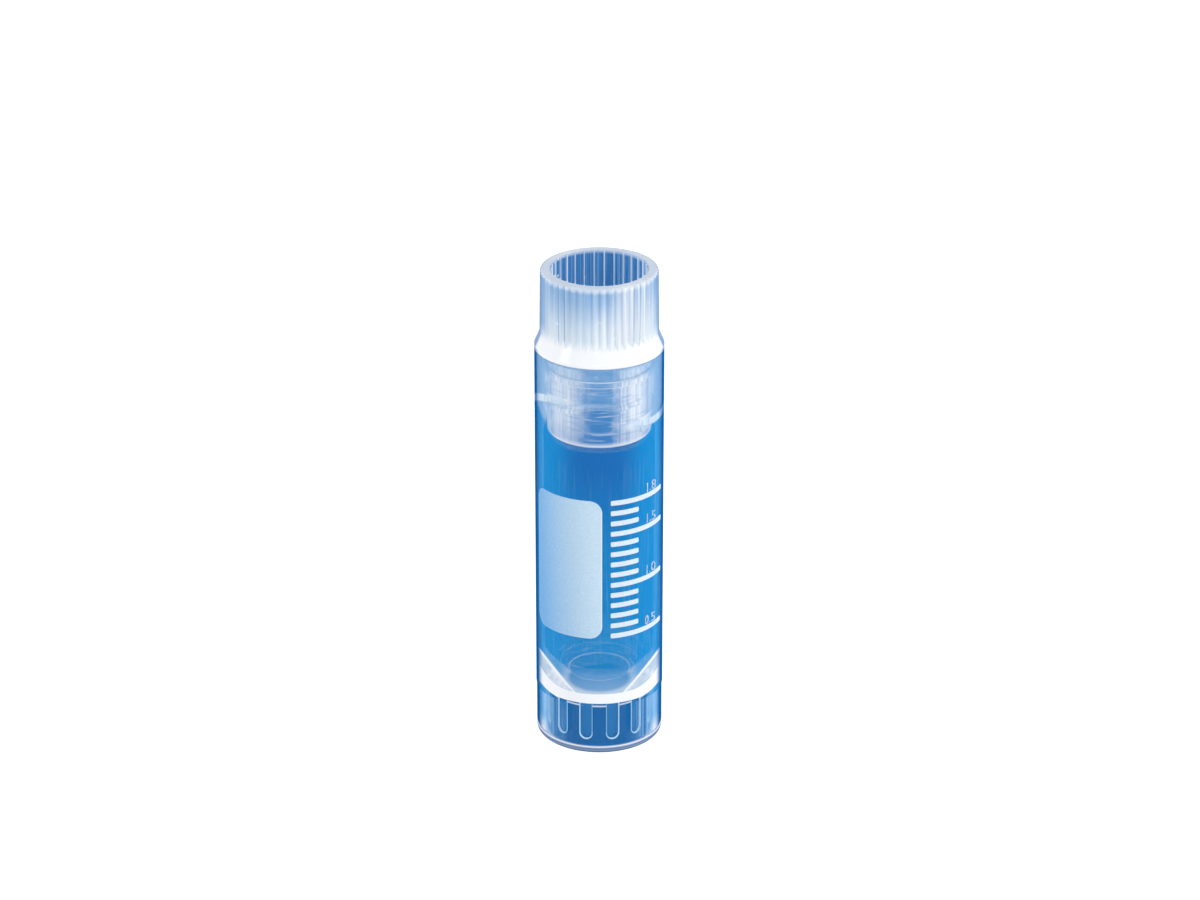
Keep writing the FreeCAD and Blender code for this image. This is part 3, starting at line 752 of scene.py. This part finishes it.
RIDGE_RING = (5.0, 5.34, 0.03)
RIDGE_START = (33.0, 33.2)
RIDGE_FRONT, RIDGE_WHITE = (0.99, 0.8), 0.9
FLAT_RIM_RING, FLAT_RIM_BAND = (2.96, 3.06, 0.03), (6.4, 7.0, 0.05)
CONE_LINE_RING, CONE_LINE_BAND, CONE_LINE_WHITE = (3.74, 3.8, 0.03), (7.0, 7.8, 0.1), 0.6
CONE_BAND = (6.55, 9.6, 0.1)
CONE_SIDE = (5.6, 5.5)
CONE_SEEN, CONE_WHITE, GLINT_WHITE = (0.75, 0.97), 0.5, 0.55


def from_front(look):
    """One at the front of the vial, and minus one at its back."""
    return look.math("COSINE", look.math("ADD", look.turn, QUARTER_TURN))


def ridge_in_mouth(look):
    """The thread ridge inside the mouth, which runs out to the front."""
    ridge = look.times(look.band(look.radius, *RIDGE_RING), look.step(look.height, *RIDGE_START))
    return look.times(ridge, look.step(from_front(look), *RIDGE_FRONT), RIDGE_WHITE)


def inner_floor_lines(look):
    """The rim of the inner floor, with a line above it on the cone."""
    rim = look.times(look.band(look.radius, *FLAT_RIM_RING), look.band(look.height, *FLAT_RIM_BAND))
    upper = look.times(look.band(look.radius, *CONE_LINE_RING), look.band(look.height, *CONE_LINE_BAND))
    return look.most(rim, look.times(upper, CONE_LINE_WHITE))


def cone_glints(look):
    """The cone above the inner floor, which brightens where it is seen along its slope."""
    cone = look.times(look.band(look.height, *CONE_BAND), look.step(look.radius, *CONE_SIDE))
    glints = look.times(look.group("turned lines")["Lines"], look.times(cone, GLINT_WHITE))
    bright = look.times(look.step(look.facing, *CONE_SEEN), CONE_WHITE)
    return look.most(glints, look.times(cone, bright))


WALL_OUTSIDE = (5.95, 6.05)
FLOW_LINE_EDGE = (0.6, 1.0)
FLOW_LINE_BAND = (10.0, 31.0, 1.0)
WHITE_COVER = 0.92
STREAK_ROUGHNESS = 0.08
TUBE_COAT, TUBE_COAT_SEEN = 0.14, (0.75, 0.4)


def tube_look(settings):
    look = Look("tube_plastic_look", Specular_IOR_Level=0.0, Coat_Roughness=0.08, Coat_IOR=1.45)
    look.locate()
    flows = look.group("streaks", Density=15.0, Drift=0.03, Seed=11.0)["Streaks"]
    outer = wall_near(look, settings, flows).change(look.inward, wall_far(look, settings))
    surface = tube_inside(look, settings).change(look.step(look.radius, *WALL_OUTSIDE), outer)
    rib_outline, rib_white = foot_ribs(look, surface)
    white = look.most(rib_white, ridge_in_mouth(look), inner_floor_lines(look), cone_glints(look))
    surface.lay(white, WHITE)
    surface.lay(rib_outline, RIB_LINE)
    # faint upright flow lines in the wall
    lines = look.group("streaks", Density=30.0, Drift=0.16, Seed=7.0)["Streaks"]
    lines = look.times(look.step(lines, *FLOW_LINE_EDGE), look.band(look.height, *FLOW_LINE_BAND))
    surface.lay(look.times(lines, look.blend(look.inward, 1.0, 0.0)), WHITE, tint=0.03)
    cover = look.blend(look.most(white, rib_outline), surface.cover, WHITE_COVER)
    look.feed(
        Base_Color=surface.color,
        Alpha=look.let_light_through(cover),
        Roughness=look.line(flows, STREAK_ROUGHNESS, settings.roughness),
        Coat_Weight=look.times(look.step(look.facing, *TUBE_COAT_SEEN), TUBE_COAT),
    )
    return look


SILICONE_ROUGHNESS, SILICONE_COVER = (0.3, 0.45), (0.12, 0.3)


def silicone_look():
    look = Look("silicone_look")
    cloud = look.group("frost", Fineness=1200.0)["Frost"]
    look.feed(
        Base_Color=look.mix(cloud, *SILICONE),
        Roughness=look.blend(cloud, *SILICONE_ROUGHNESS),
        Alpha=look.let_light_through(look.blend(cloud, *SILICONE_COVER)),
    )
    return look


class CRYOVIAL_OT_tube(bpy.types.Operator):
    """Gives the tube its clear blue plastic, and the seal its silicone"""

    bl_idname = "cryovial.tube"
    bl_label = "Tube"

    def execute(self, context):
        tube_look(context.scene.cryovial_tube).dress("tube")
        silicone_look().dress("seal_ring")
        return {"FINISHED"}


CAP_OUTSIDE = (4.76, 4.86)


def cap_layers(look, settings, outside):
    """The cap's two faces by height: the knob, flange and plug outside, the recess and the plug's hollow inside."""
    recess, pale, plug = settings.recess, settings.pale, settings.plug
    # the white at the plug's lower end, outside and in, is a painted highlight line
    outer = look.ramp(look.height, (
        (32.4, WHITE, 1.0), (32.72, WHITE, 0.97), (32.84, PLUG_END_BLUE, 0.66), (36.0, plug, 0.6), (40.9, plug, 0.66),
        (41.1, WHITE, 1.0), (42.6, WHITE, 1.0), (43.6, KNOB_MILK, 0.95), (45.0, KNOB_LOW, 0.92),
        (46.5, KNOB_MIDDLE, 0.85), (47.6, KNOB_HIGH, 0.75), (48.4, pale, 0.65), (48.75, KNOB_LIP, 0.9),
    ))
    inner = look.ramp(look.height, (
        (32.4, WHITE, 1.0), (32.6, plug, 0.12), (43.3, plug, 0.12), (44.2, recess, 0.93), (48.7, recess, 0.93),
        (48.95, KNOB_LIP, 0.9),
    ))
    return inner.change(outside, outer)


RECESS_FLOOR = (44.45, 44.6)
RECESS_RING = (4.3, 4.4)
RECESS_FLANK = (4.71, 4.69)
RECESS_WALL = (4.9, 4.8)
RECESS_CREST = (4.62, 4.53)
RECESS_STREAK_EDGE = (0.45, 0.9)
FLANK_STRENGTH, CREST_STRENGTH = (0.35, 1.0), (0.3, 1.0)  # between streaks, and on them


def recess_ribs(look, surface, streaks):
    """Ribs inside the recess: paler than the panels between them, with painted highlights along their crests."""
    in_recess = look.times(look.step(look.height, *RECESS_FLOOR), look.step(look.radius, *RECESS_RING))
    flank = look.times(look.step(look.radius, *RECESS_FLANK), in_recess)
    surface.lay(flank, RECESS_RIB, tint=look.blend(streaks, *FLANK_STRENGTH))
    panels = look.group("streaks", Density=42.0, Drift=0.06, Seed=5.0)["Streaks"]
    on_wall = look.times(in_recess, look.step(look.radius, *RECESS_WALL))
    surface.lay(look.times(look.step(panels, *RECESS_STREAK_EDGE), on_wall), RECESS_STREAK, tint=0.45)
    crest = look.step(look.radius, *RECESS_CREST)
    return look.times(crest, in_recess, look.blend(streaks, *CREST_STRENGTH))


MILK_SHEEN_SIDES, MILK_SHEEN_TURN = 2.0, 1.85  # two milky sides with a painted sheen, and how far round they lie
MILK_SHEEN_HEIGHT, MILK_SHEEN_LIMIT = (45.0, 48.3), (-0.2, 0.4)  # the sides narrow towards the top
FLUTE_FLOOR_TO_CREST = (5.5, 5.66)
FLOOR_WHITE, CREST_WHITE = (0.0, 0.75), (0.2, 1.0)  # on the clear sides, and on the milky sides with their painted sheen
KNOB_STREAKS = (0.25, 1.0)


def knob_milk_and_sheen(look):
    """How milky the knob is round its sides: partly milky plastic, partly a painted sheen."""
    wave = look.math("COSINE", look.line(look.turn, MILK_SHEEN_SIDES, MILK_SHEEN_TURN))
    return look.step(wave, look.step(look.height, *MILK_SHEEN_HEIGHT, *MILK_SHEEN_LIMIT), 1.0)


def knob_crests(look, milk_and_painted_light, streaks, in_knob, outside):
    """Crests between the flutes of the knob, whiter where it is milky and its sheen is painted."""
    crest = look.step(look.radius, *FLUTE_FLOOR_TO_CREST)
    crests = look.blend(crest, look.blend(milk_and_painted_light, *FLOOR_WHITE), look.blend(milk_and_painted_light, *CREST_WHITE))
    return look.times(in_knob, crests, look.blend(streaks, *KNOB_STREAKS), outside)


PLUG_BANDS, PLUG_BAND_TURN, PLUG_BAND_WANDER, PLUG_BAND_CLOUD = 4.0, -0.35, 0.7, -0.6
PLUG_BAND_EDGE = (0.7, -1.0)
PLUG_BAND_STREAKS = (0.65, 1.0)
PLUG_FOOT, PLUG_FOOT_STRENGTH = (32.8, 35.0), (0.75, 1.0)
PLUG_BAND_LINES = (1.0, 0.75)  # between turned lines, and on them
PLUG_SIDES, PLUG_SIDE_STRENGTH = (-0.5, 0.5), (0.88, 1.0)  # from the left side to the right one, where the painted reflection is stronger
PLUG_BAND_FAR = 0.3
PLUG_LINES = (0.45, 0.2)  # seen from outside, and from within the wall
PLUG_BRIGHT = (0.75, 0.2)
PLUG_BRIGHT_SEEN = (0.5, 0.76)
PLUG_RAISED = (5.12, 5.25)
PLUG_THREAD_TOP = (38.5, 38.3)
PLUG_THREAD_FRONT = (0.97, 0.55)
BEAD_TOP_BAND, BEAD_FOOT_BAND = (39.26, 39.4, 0.03), (38.68, 38.76, 0.03)
PLUG_THREAD_WHITE, BEAD_WHITE = 0.6, 0.85


def plug_bands(look, in_plug, streaks, lines):
    """Four paler bands down the plug: partly flow in the plastic, partly painted reflections, stronger on the right
    side.
    """
    cloud = look.group("frost", Fineness=260.0)["Frost"]
    wave = look.line(streaks, PLUG_BAND_WANDER, look.line(look.turn, PLUG_BANDS, PLUG_BAND_TURN))
    flow_and_reflection = look.step(look.line(cloud, PLUG_BAND_CLOUD, look.math("COSINE", wave)), *PLUG_BAND_EDGE)
    right_side_light = look.step(look.math("COSINE", look.turn), *PLUG_SIDES, *PLUG_SIDE_STRENGTH)
    return look.times(
        in_plug, flow_and_reflection, look.blend(streaks, *PLUG_BAND_STREAKS),
        look.step(look.height, *PLUG_FOOT, *PLUG_FOOT_STRENGTH),
        look.blend(lines, *PLUG_BAND_LINES), look.blend(look.inward, right_side_light, PLUG_BAND_FAR),
    )


def plug_ridges(look, in_plug):
    """The thread ridge on the plug, where it runs past the front, and the bead that keeps the seal."""
    raised = look.step(look.radius, *PLUG_RAISED)
    front = look.step(from_front(look), *PLUG_THREAD_FRONT)
    thread = look.times(raised, look.step(look.height, *PLUG_THREAD_TOP), front)
    edges = look.most(look.band(look.height, *BEAD_TOP_BAND), look.band(look.height, *BEAD_FOOT_BAND))
    bead = look.times(raised, edges)
    ridges = look.most(look.times(thread, PLUG_THREAD_WHITE), look.times(bead, BEAD_WHITE))
    return look.times(in_plug, ridges)


ABOVE_TUBE = (41.05, 41.15)
KNOB_EDGE = (48.85, 48.7)
SHADE_SEEN, SHADE_START = (0.45, 0.75), (42.0, 44.5)
SHADE_STRENGTH = (0.85, 0.3)  # on the clear sides, and on the milky sides with their painted sheen
KNOB_LINE_SEEN, KNOB_ROUND_SEEN = (0.6, 0.85), (0.78, 0.86)
LIP_RADIUS, LIP_HEIGHT, LIP_LINE = (5.56, 5.64), (48.88, 48.96), 0.6


def knob_outline(look, surface, milk_and_painted_light, outside):
    """The blue shade to each side of the knob, and the thin blue line round its outline."""
    above_tube = look.times(outside, look.step(look.height, *ABOVE_TUBE))
    upright = look.times(outside, look.step(look.height, *KNOB_EDGE))
    on_knob = look.times(upright, look.step(look.height, *SHADE_START))
    shade = look.times(look.step(look.rounding, *SHADE_SEEN), on_knob)
    surface.lay(shade, KNOB_SHADE, tint=look.blend(milk_and_painted_light, *SHADE_STRENGTH))
    round_line = look.times(look.step(look.rounding, *KNOB_ROUND_SEEN), upright)
    outline = look.times(look.most(look.step(look.facing, *KNOB_LINE_SEEN), round_line), above_tube)
    lip = look.times(look.step(look.radius, *LIP_RADIUS), look.step(look.height, *LIP_HEIGHT))
    surface.lay(look.most(outline, look.times(lip, LIP_LINE)), KNOB_LINE, hides=1.0)


KNOB_START = (42.9, 43.2)
PLUG_TOP = (41.0, 40.6)
CAP_WHITE_COVER = 0.97
CAP_COAT, CAP_COAT_SEEN = 0.6, (0.85, 0.5)


def cap_look(settings):
    look = Look("cap_plastic_look", Specular_IOR_Level=0.03, Coat_Roughness=0.15, Coat_IOR=1.45)
    look.locate()
    outside = look.step(look.radius, *CAP_OUTSIDE)
    surface = cap_layers(look, settings, outside)
    streaks = look.group("streaks", Density=14.0, Drift=0.03, Seed=3.0)["Streaks"]
    lines = look.group("turned lines")["Lines"]
    in_knob = look.step(look.height, *KNOB_START)
    in_plug = look.times(outside, look.step(look.height, *PLUG_TOP))
    # the knob's milky sides are partly a painted sheen
    milk_and_painted_light = knob_milk_and_sheen(look)
    white = look.most(
        recess_ribs(look, surface, streaks),
        knob_crests(look, milk_and_painted_light, streaks, in_knob, outside),
        plug_bands(look, in_plug, streaks, lines),
        plug_ridges(look, in_plug),
        look.times(in_plug, lines, look.blend(look.inward, *PLUG_LINES)),
        # painted highlights brighten the plug towards each side
        look.times(in_plug, look.blend(look.inward, *PLUG_BRIGHT), look.step(look.rounding, *PLUG_BRIGHT_SEEN)),
    )
    surface.lay(white, WHITE)
    surface.cover = look.blend(white, surface.cover, CAP_WHITE_COVER)
    knob_outline(look, surface, milk_and_painted_light, outside)
    specks = look.times(look.group("specks", Fineness=1500.0, Share=0.05)["Specks"], in_knob)
    surface.lay(specks, WHITE, tint=0.8)
    look.feed(
        Base_Color=surface.color,
        Alpha=look.let_light_through(surface.cover),
        Roughness=settings.roughness,
        Coat_Weight=look.times(outside, look.step(look.facing, *CAP_COAT_SEEN), CAP_COAT),
    )
    return look


class CRYOVIAL_OT_cap(bpy.types.Operator):
    """Gives the cap its plastic"""

    bl_idname = "cryovial.cap"
    bl_label = "Cap"

    def execute(self, context):
        cap_look(context.scene.cryovial_cap).dress("cap")
        return {"FINISHED"}


def print_number(value, radius, height, settings):
    """Makes one number, bends it to the wall and turns it round the tube to its place."""
    bpy.ops.object.text_add(rotation=(QUARTER_TURN, 0, 0))
    number = bpy.context.active_object
    number.data.body = f"{value:.1f}"
    number.data.size = settings.number_size
    number.data.align_x = "CENTER"
    number.data.extrude = settings.ink
    number.data.resolution_u = TYPE_RESOLUTION
    bpy.ops.object.convert(target="MESH")
    bpy.ops.object.transform_apply(location=False, rotation=True, scale=False)
    width = number.dimensions.x
    bend = number.modifiers.new("round the tube", "SIMPLE_DEFORM")
    bend.deform_method = "BEND"
    bend.deform_axis = "Z"
    bend.angle = -width / radius
    bpy.ops.object.modifier_apply(modifier=bend.name)
    number.location = (0, -radius, height)
    bpy.ops.object.transform_apply(location=True, rotation=False, scale=False)
    number.rotation_euler.z = settings.number_turn
    bpy.ops.object.transform_apply(location=False, rotation=True, scale=False)
    return number


class CRYOVIAL_OT_numbers(bpy.types.Operator):
    """Prints the numbers over the scale's long lines"""

    bl_idname = "cryovial.numbers"
    bl_label = "Scale numbers"

    def execute(self, context):
        settings = context.scene.cryovial_print
        low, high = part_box("graduation_marks")
        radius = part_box("tube")[1][0]
        step = (high[2] - low[2] - settings.line) / SCALE_STEPS
        first = low[2] + settings.line
        bpy.ops.object.select_all(action="DESELECT")
        made = []
        for value in SCALE_NUMBERS:
            height = first + (value - SCALE_START) * STEPS_PER_ML * step + settings.number_lift
            made.append(print_number(value, radius, height, settings))
        for number in made:
            number.select_set(True)
        context.view_layer.objects.active = made[0]
        bpy.ops.object.join()
        numbers = context.active_object
        numbers.name = "scale_numbers"
        look = Look("scale_numbers_look", Roughness=0.5, Specular_IOR_Level=0.3)
        wear = look.group("frost", Fineness=2500.0)["Frost"]
        look.feed(Base_Color=look.mix(wear, settings.scale, WHITE), Alpha=look.blend(wear, *NUMBER_COVER))
        numbers.data.materials.clear()
        numbers.data.materials.append(look.material)
        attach(numbers, "tube")
        return {"FINISHED"}


PATCH_HIGHLIGHT_MIDDLE, PATCH_HIGHLIGHT_TILT = 20.0, 0.012  # the height where the painted highlight starts as stated, and its drift for each mm above
PATCH_HIGHLIGHT_START = (-2.9, -1.5)  # round the tube, in radians
PATCH_EDGE = (-1.548, -1.535)
PATCH_GRAIN = (0.12, 0.38)  # away from the painted highlight, and in it
PATCH_EDGE_WHITE = 0.7
LINE_WEAR = 0.5


def patch_look(settings):
    """Frosted ink, with a painted highlight that lightens it towards the front, and a pale right edge."""
    look = Look("patch_look", Roughness=0.6, Specular_IOR_Level=0.3)
    place = look.group("place")
    frost = look.group("frost", Fineness=9000.0)["Frost"]
    front_highlight = look.line(look.less(place["Height"], PATCH_HIGHLIGHT_MIDDLE), PATCH_HIGHLIGHT_TILT, place["Turn"])
    front_highlight = look.step(front_highlight, *PATCH_HIGHLIGHT_START)
    # the patch lightens towards the front: a painted highlight
    ink = Layer(look, look.mix(front_highlight, settings.patch_away_from_highlight, settings.patch))
    ink.lay(frost, WHITE, tint=look.blend(front_highlight, *PATCH_GRAIN))
    ink.lay(look.step(place["Turn"], *PATCH_EDGE), WHITE, tint=PATCH_EDGE_WHITE)
    look.feed(Base_Color=ink.color)
    return look


def scale_look(settings):
    look = Look("scale_look", Roughness=0.5, Specular_IOR_Level=0.3)
    wear = look.group("frost", Fineness=5000.0)["Frost"]
    look.feed(Base_Color=look.mix(look.times(wear, LINE_WEAR), settings.scale, WHITE))
    return look


class CRYOVIAL_OT_print(bpy.types.Operator):
    """Gives the patch and the scale their ink"""

    bl_idname = "cryovial.print"
    bl_label = "Print"

    def execute(self, context):
        settings = context.scene.cryovial_print
        patch_look(settings).dress("writing_patch")
        scale_look(settings).dress("graduation_marks")
        return {"FINISHED"}


OPERATORS = (
    CRYOVIAL_OT_stage,
    CRYOVIAL_OT_effects,
    CRYOVIAL_OT_tube,
    CRYOVIAL_OT_cap,
    CRYOVIAL_OT_print,
    CRYOVIAL_OT_numbers,
)
SETTINGS = {
    "cryovial_tube": TubeSettings,
    "cryovial_cap": CapSettings,
    "cryovial_print": PrintSettings,
    "cryovial_stage": StageSettings,
}


class CRYOVIAL_PT_panel(bpy.types.Panel):
    """Lists the cryovial's steps and settings"""

    bl_idname = "CRYOVIAL_PT_panel"
    bl_label = "Cryovial"
    bl_space_type = "VIEW_3D"
    bl_region_type = "UI"
    bl_category = "Cryovial"

    def draw(self, context):
        for operator in OPERATORS:
            self.layout.operator(operator.bl_idname)
        for name, group in SETTINGS.items():
            box = self.layout.box()
            for key in group.__annotations__:
                box.prop(getattr(context.scene, name), key)


def register():
    for item in (*SETTINGS.values(), *OPERATORS, CRYOVIAL_PT_panel):
        bpy.utils.register_class(item)
    for name, group in SETTINGS.items():
        setattr(bpy.types.Scene, name, PointerProperty(type=group))


def unregister():
    for name in SETTINGS:
        delattr(bpy.types.Scene, name)
    for item in reversed((*SETTINGS.values(), *OPERATORS, CRYOVIAL_PT_panel)):
        bpy.utils.unregister_class(item)


def main():
    register()
    bpy.ops.cryovial.stage()
    bpy.ops.cryovial.effects()
    bpy.ops.cryovial.tube()
    bpy.ops.cryovial.cap()
    bpy.ops.cryovial.print()
    bpy.ops.cryovial.numbers()


if __name__ == "__main__":
    main()
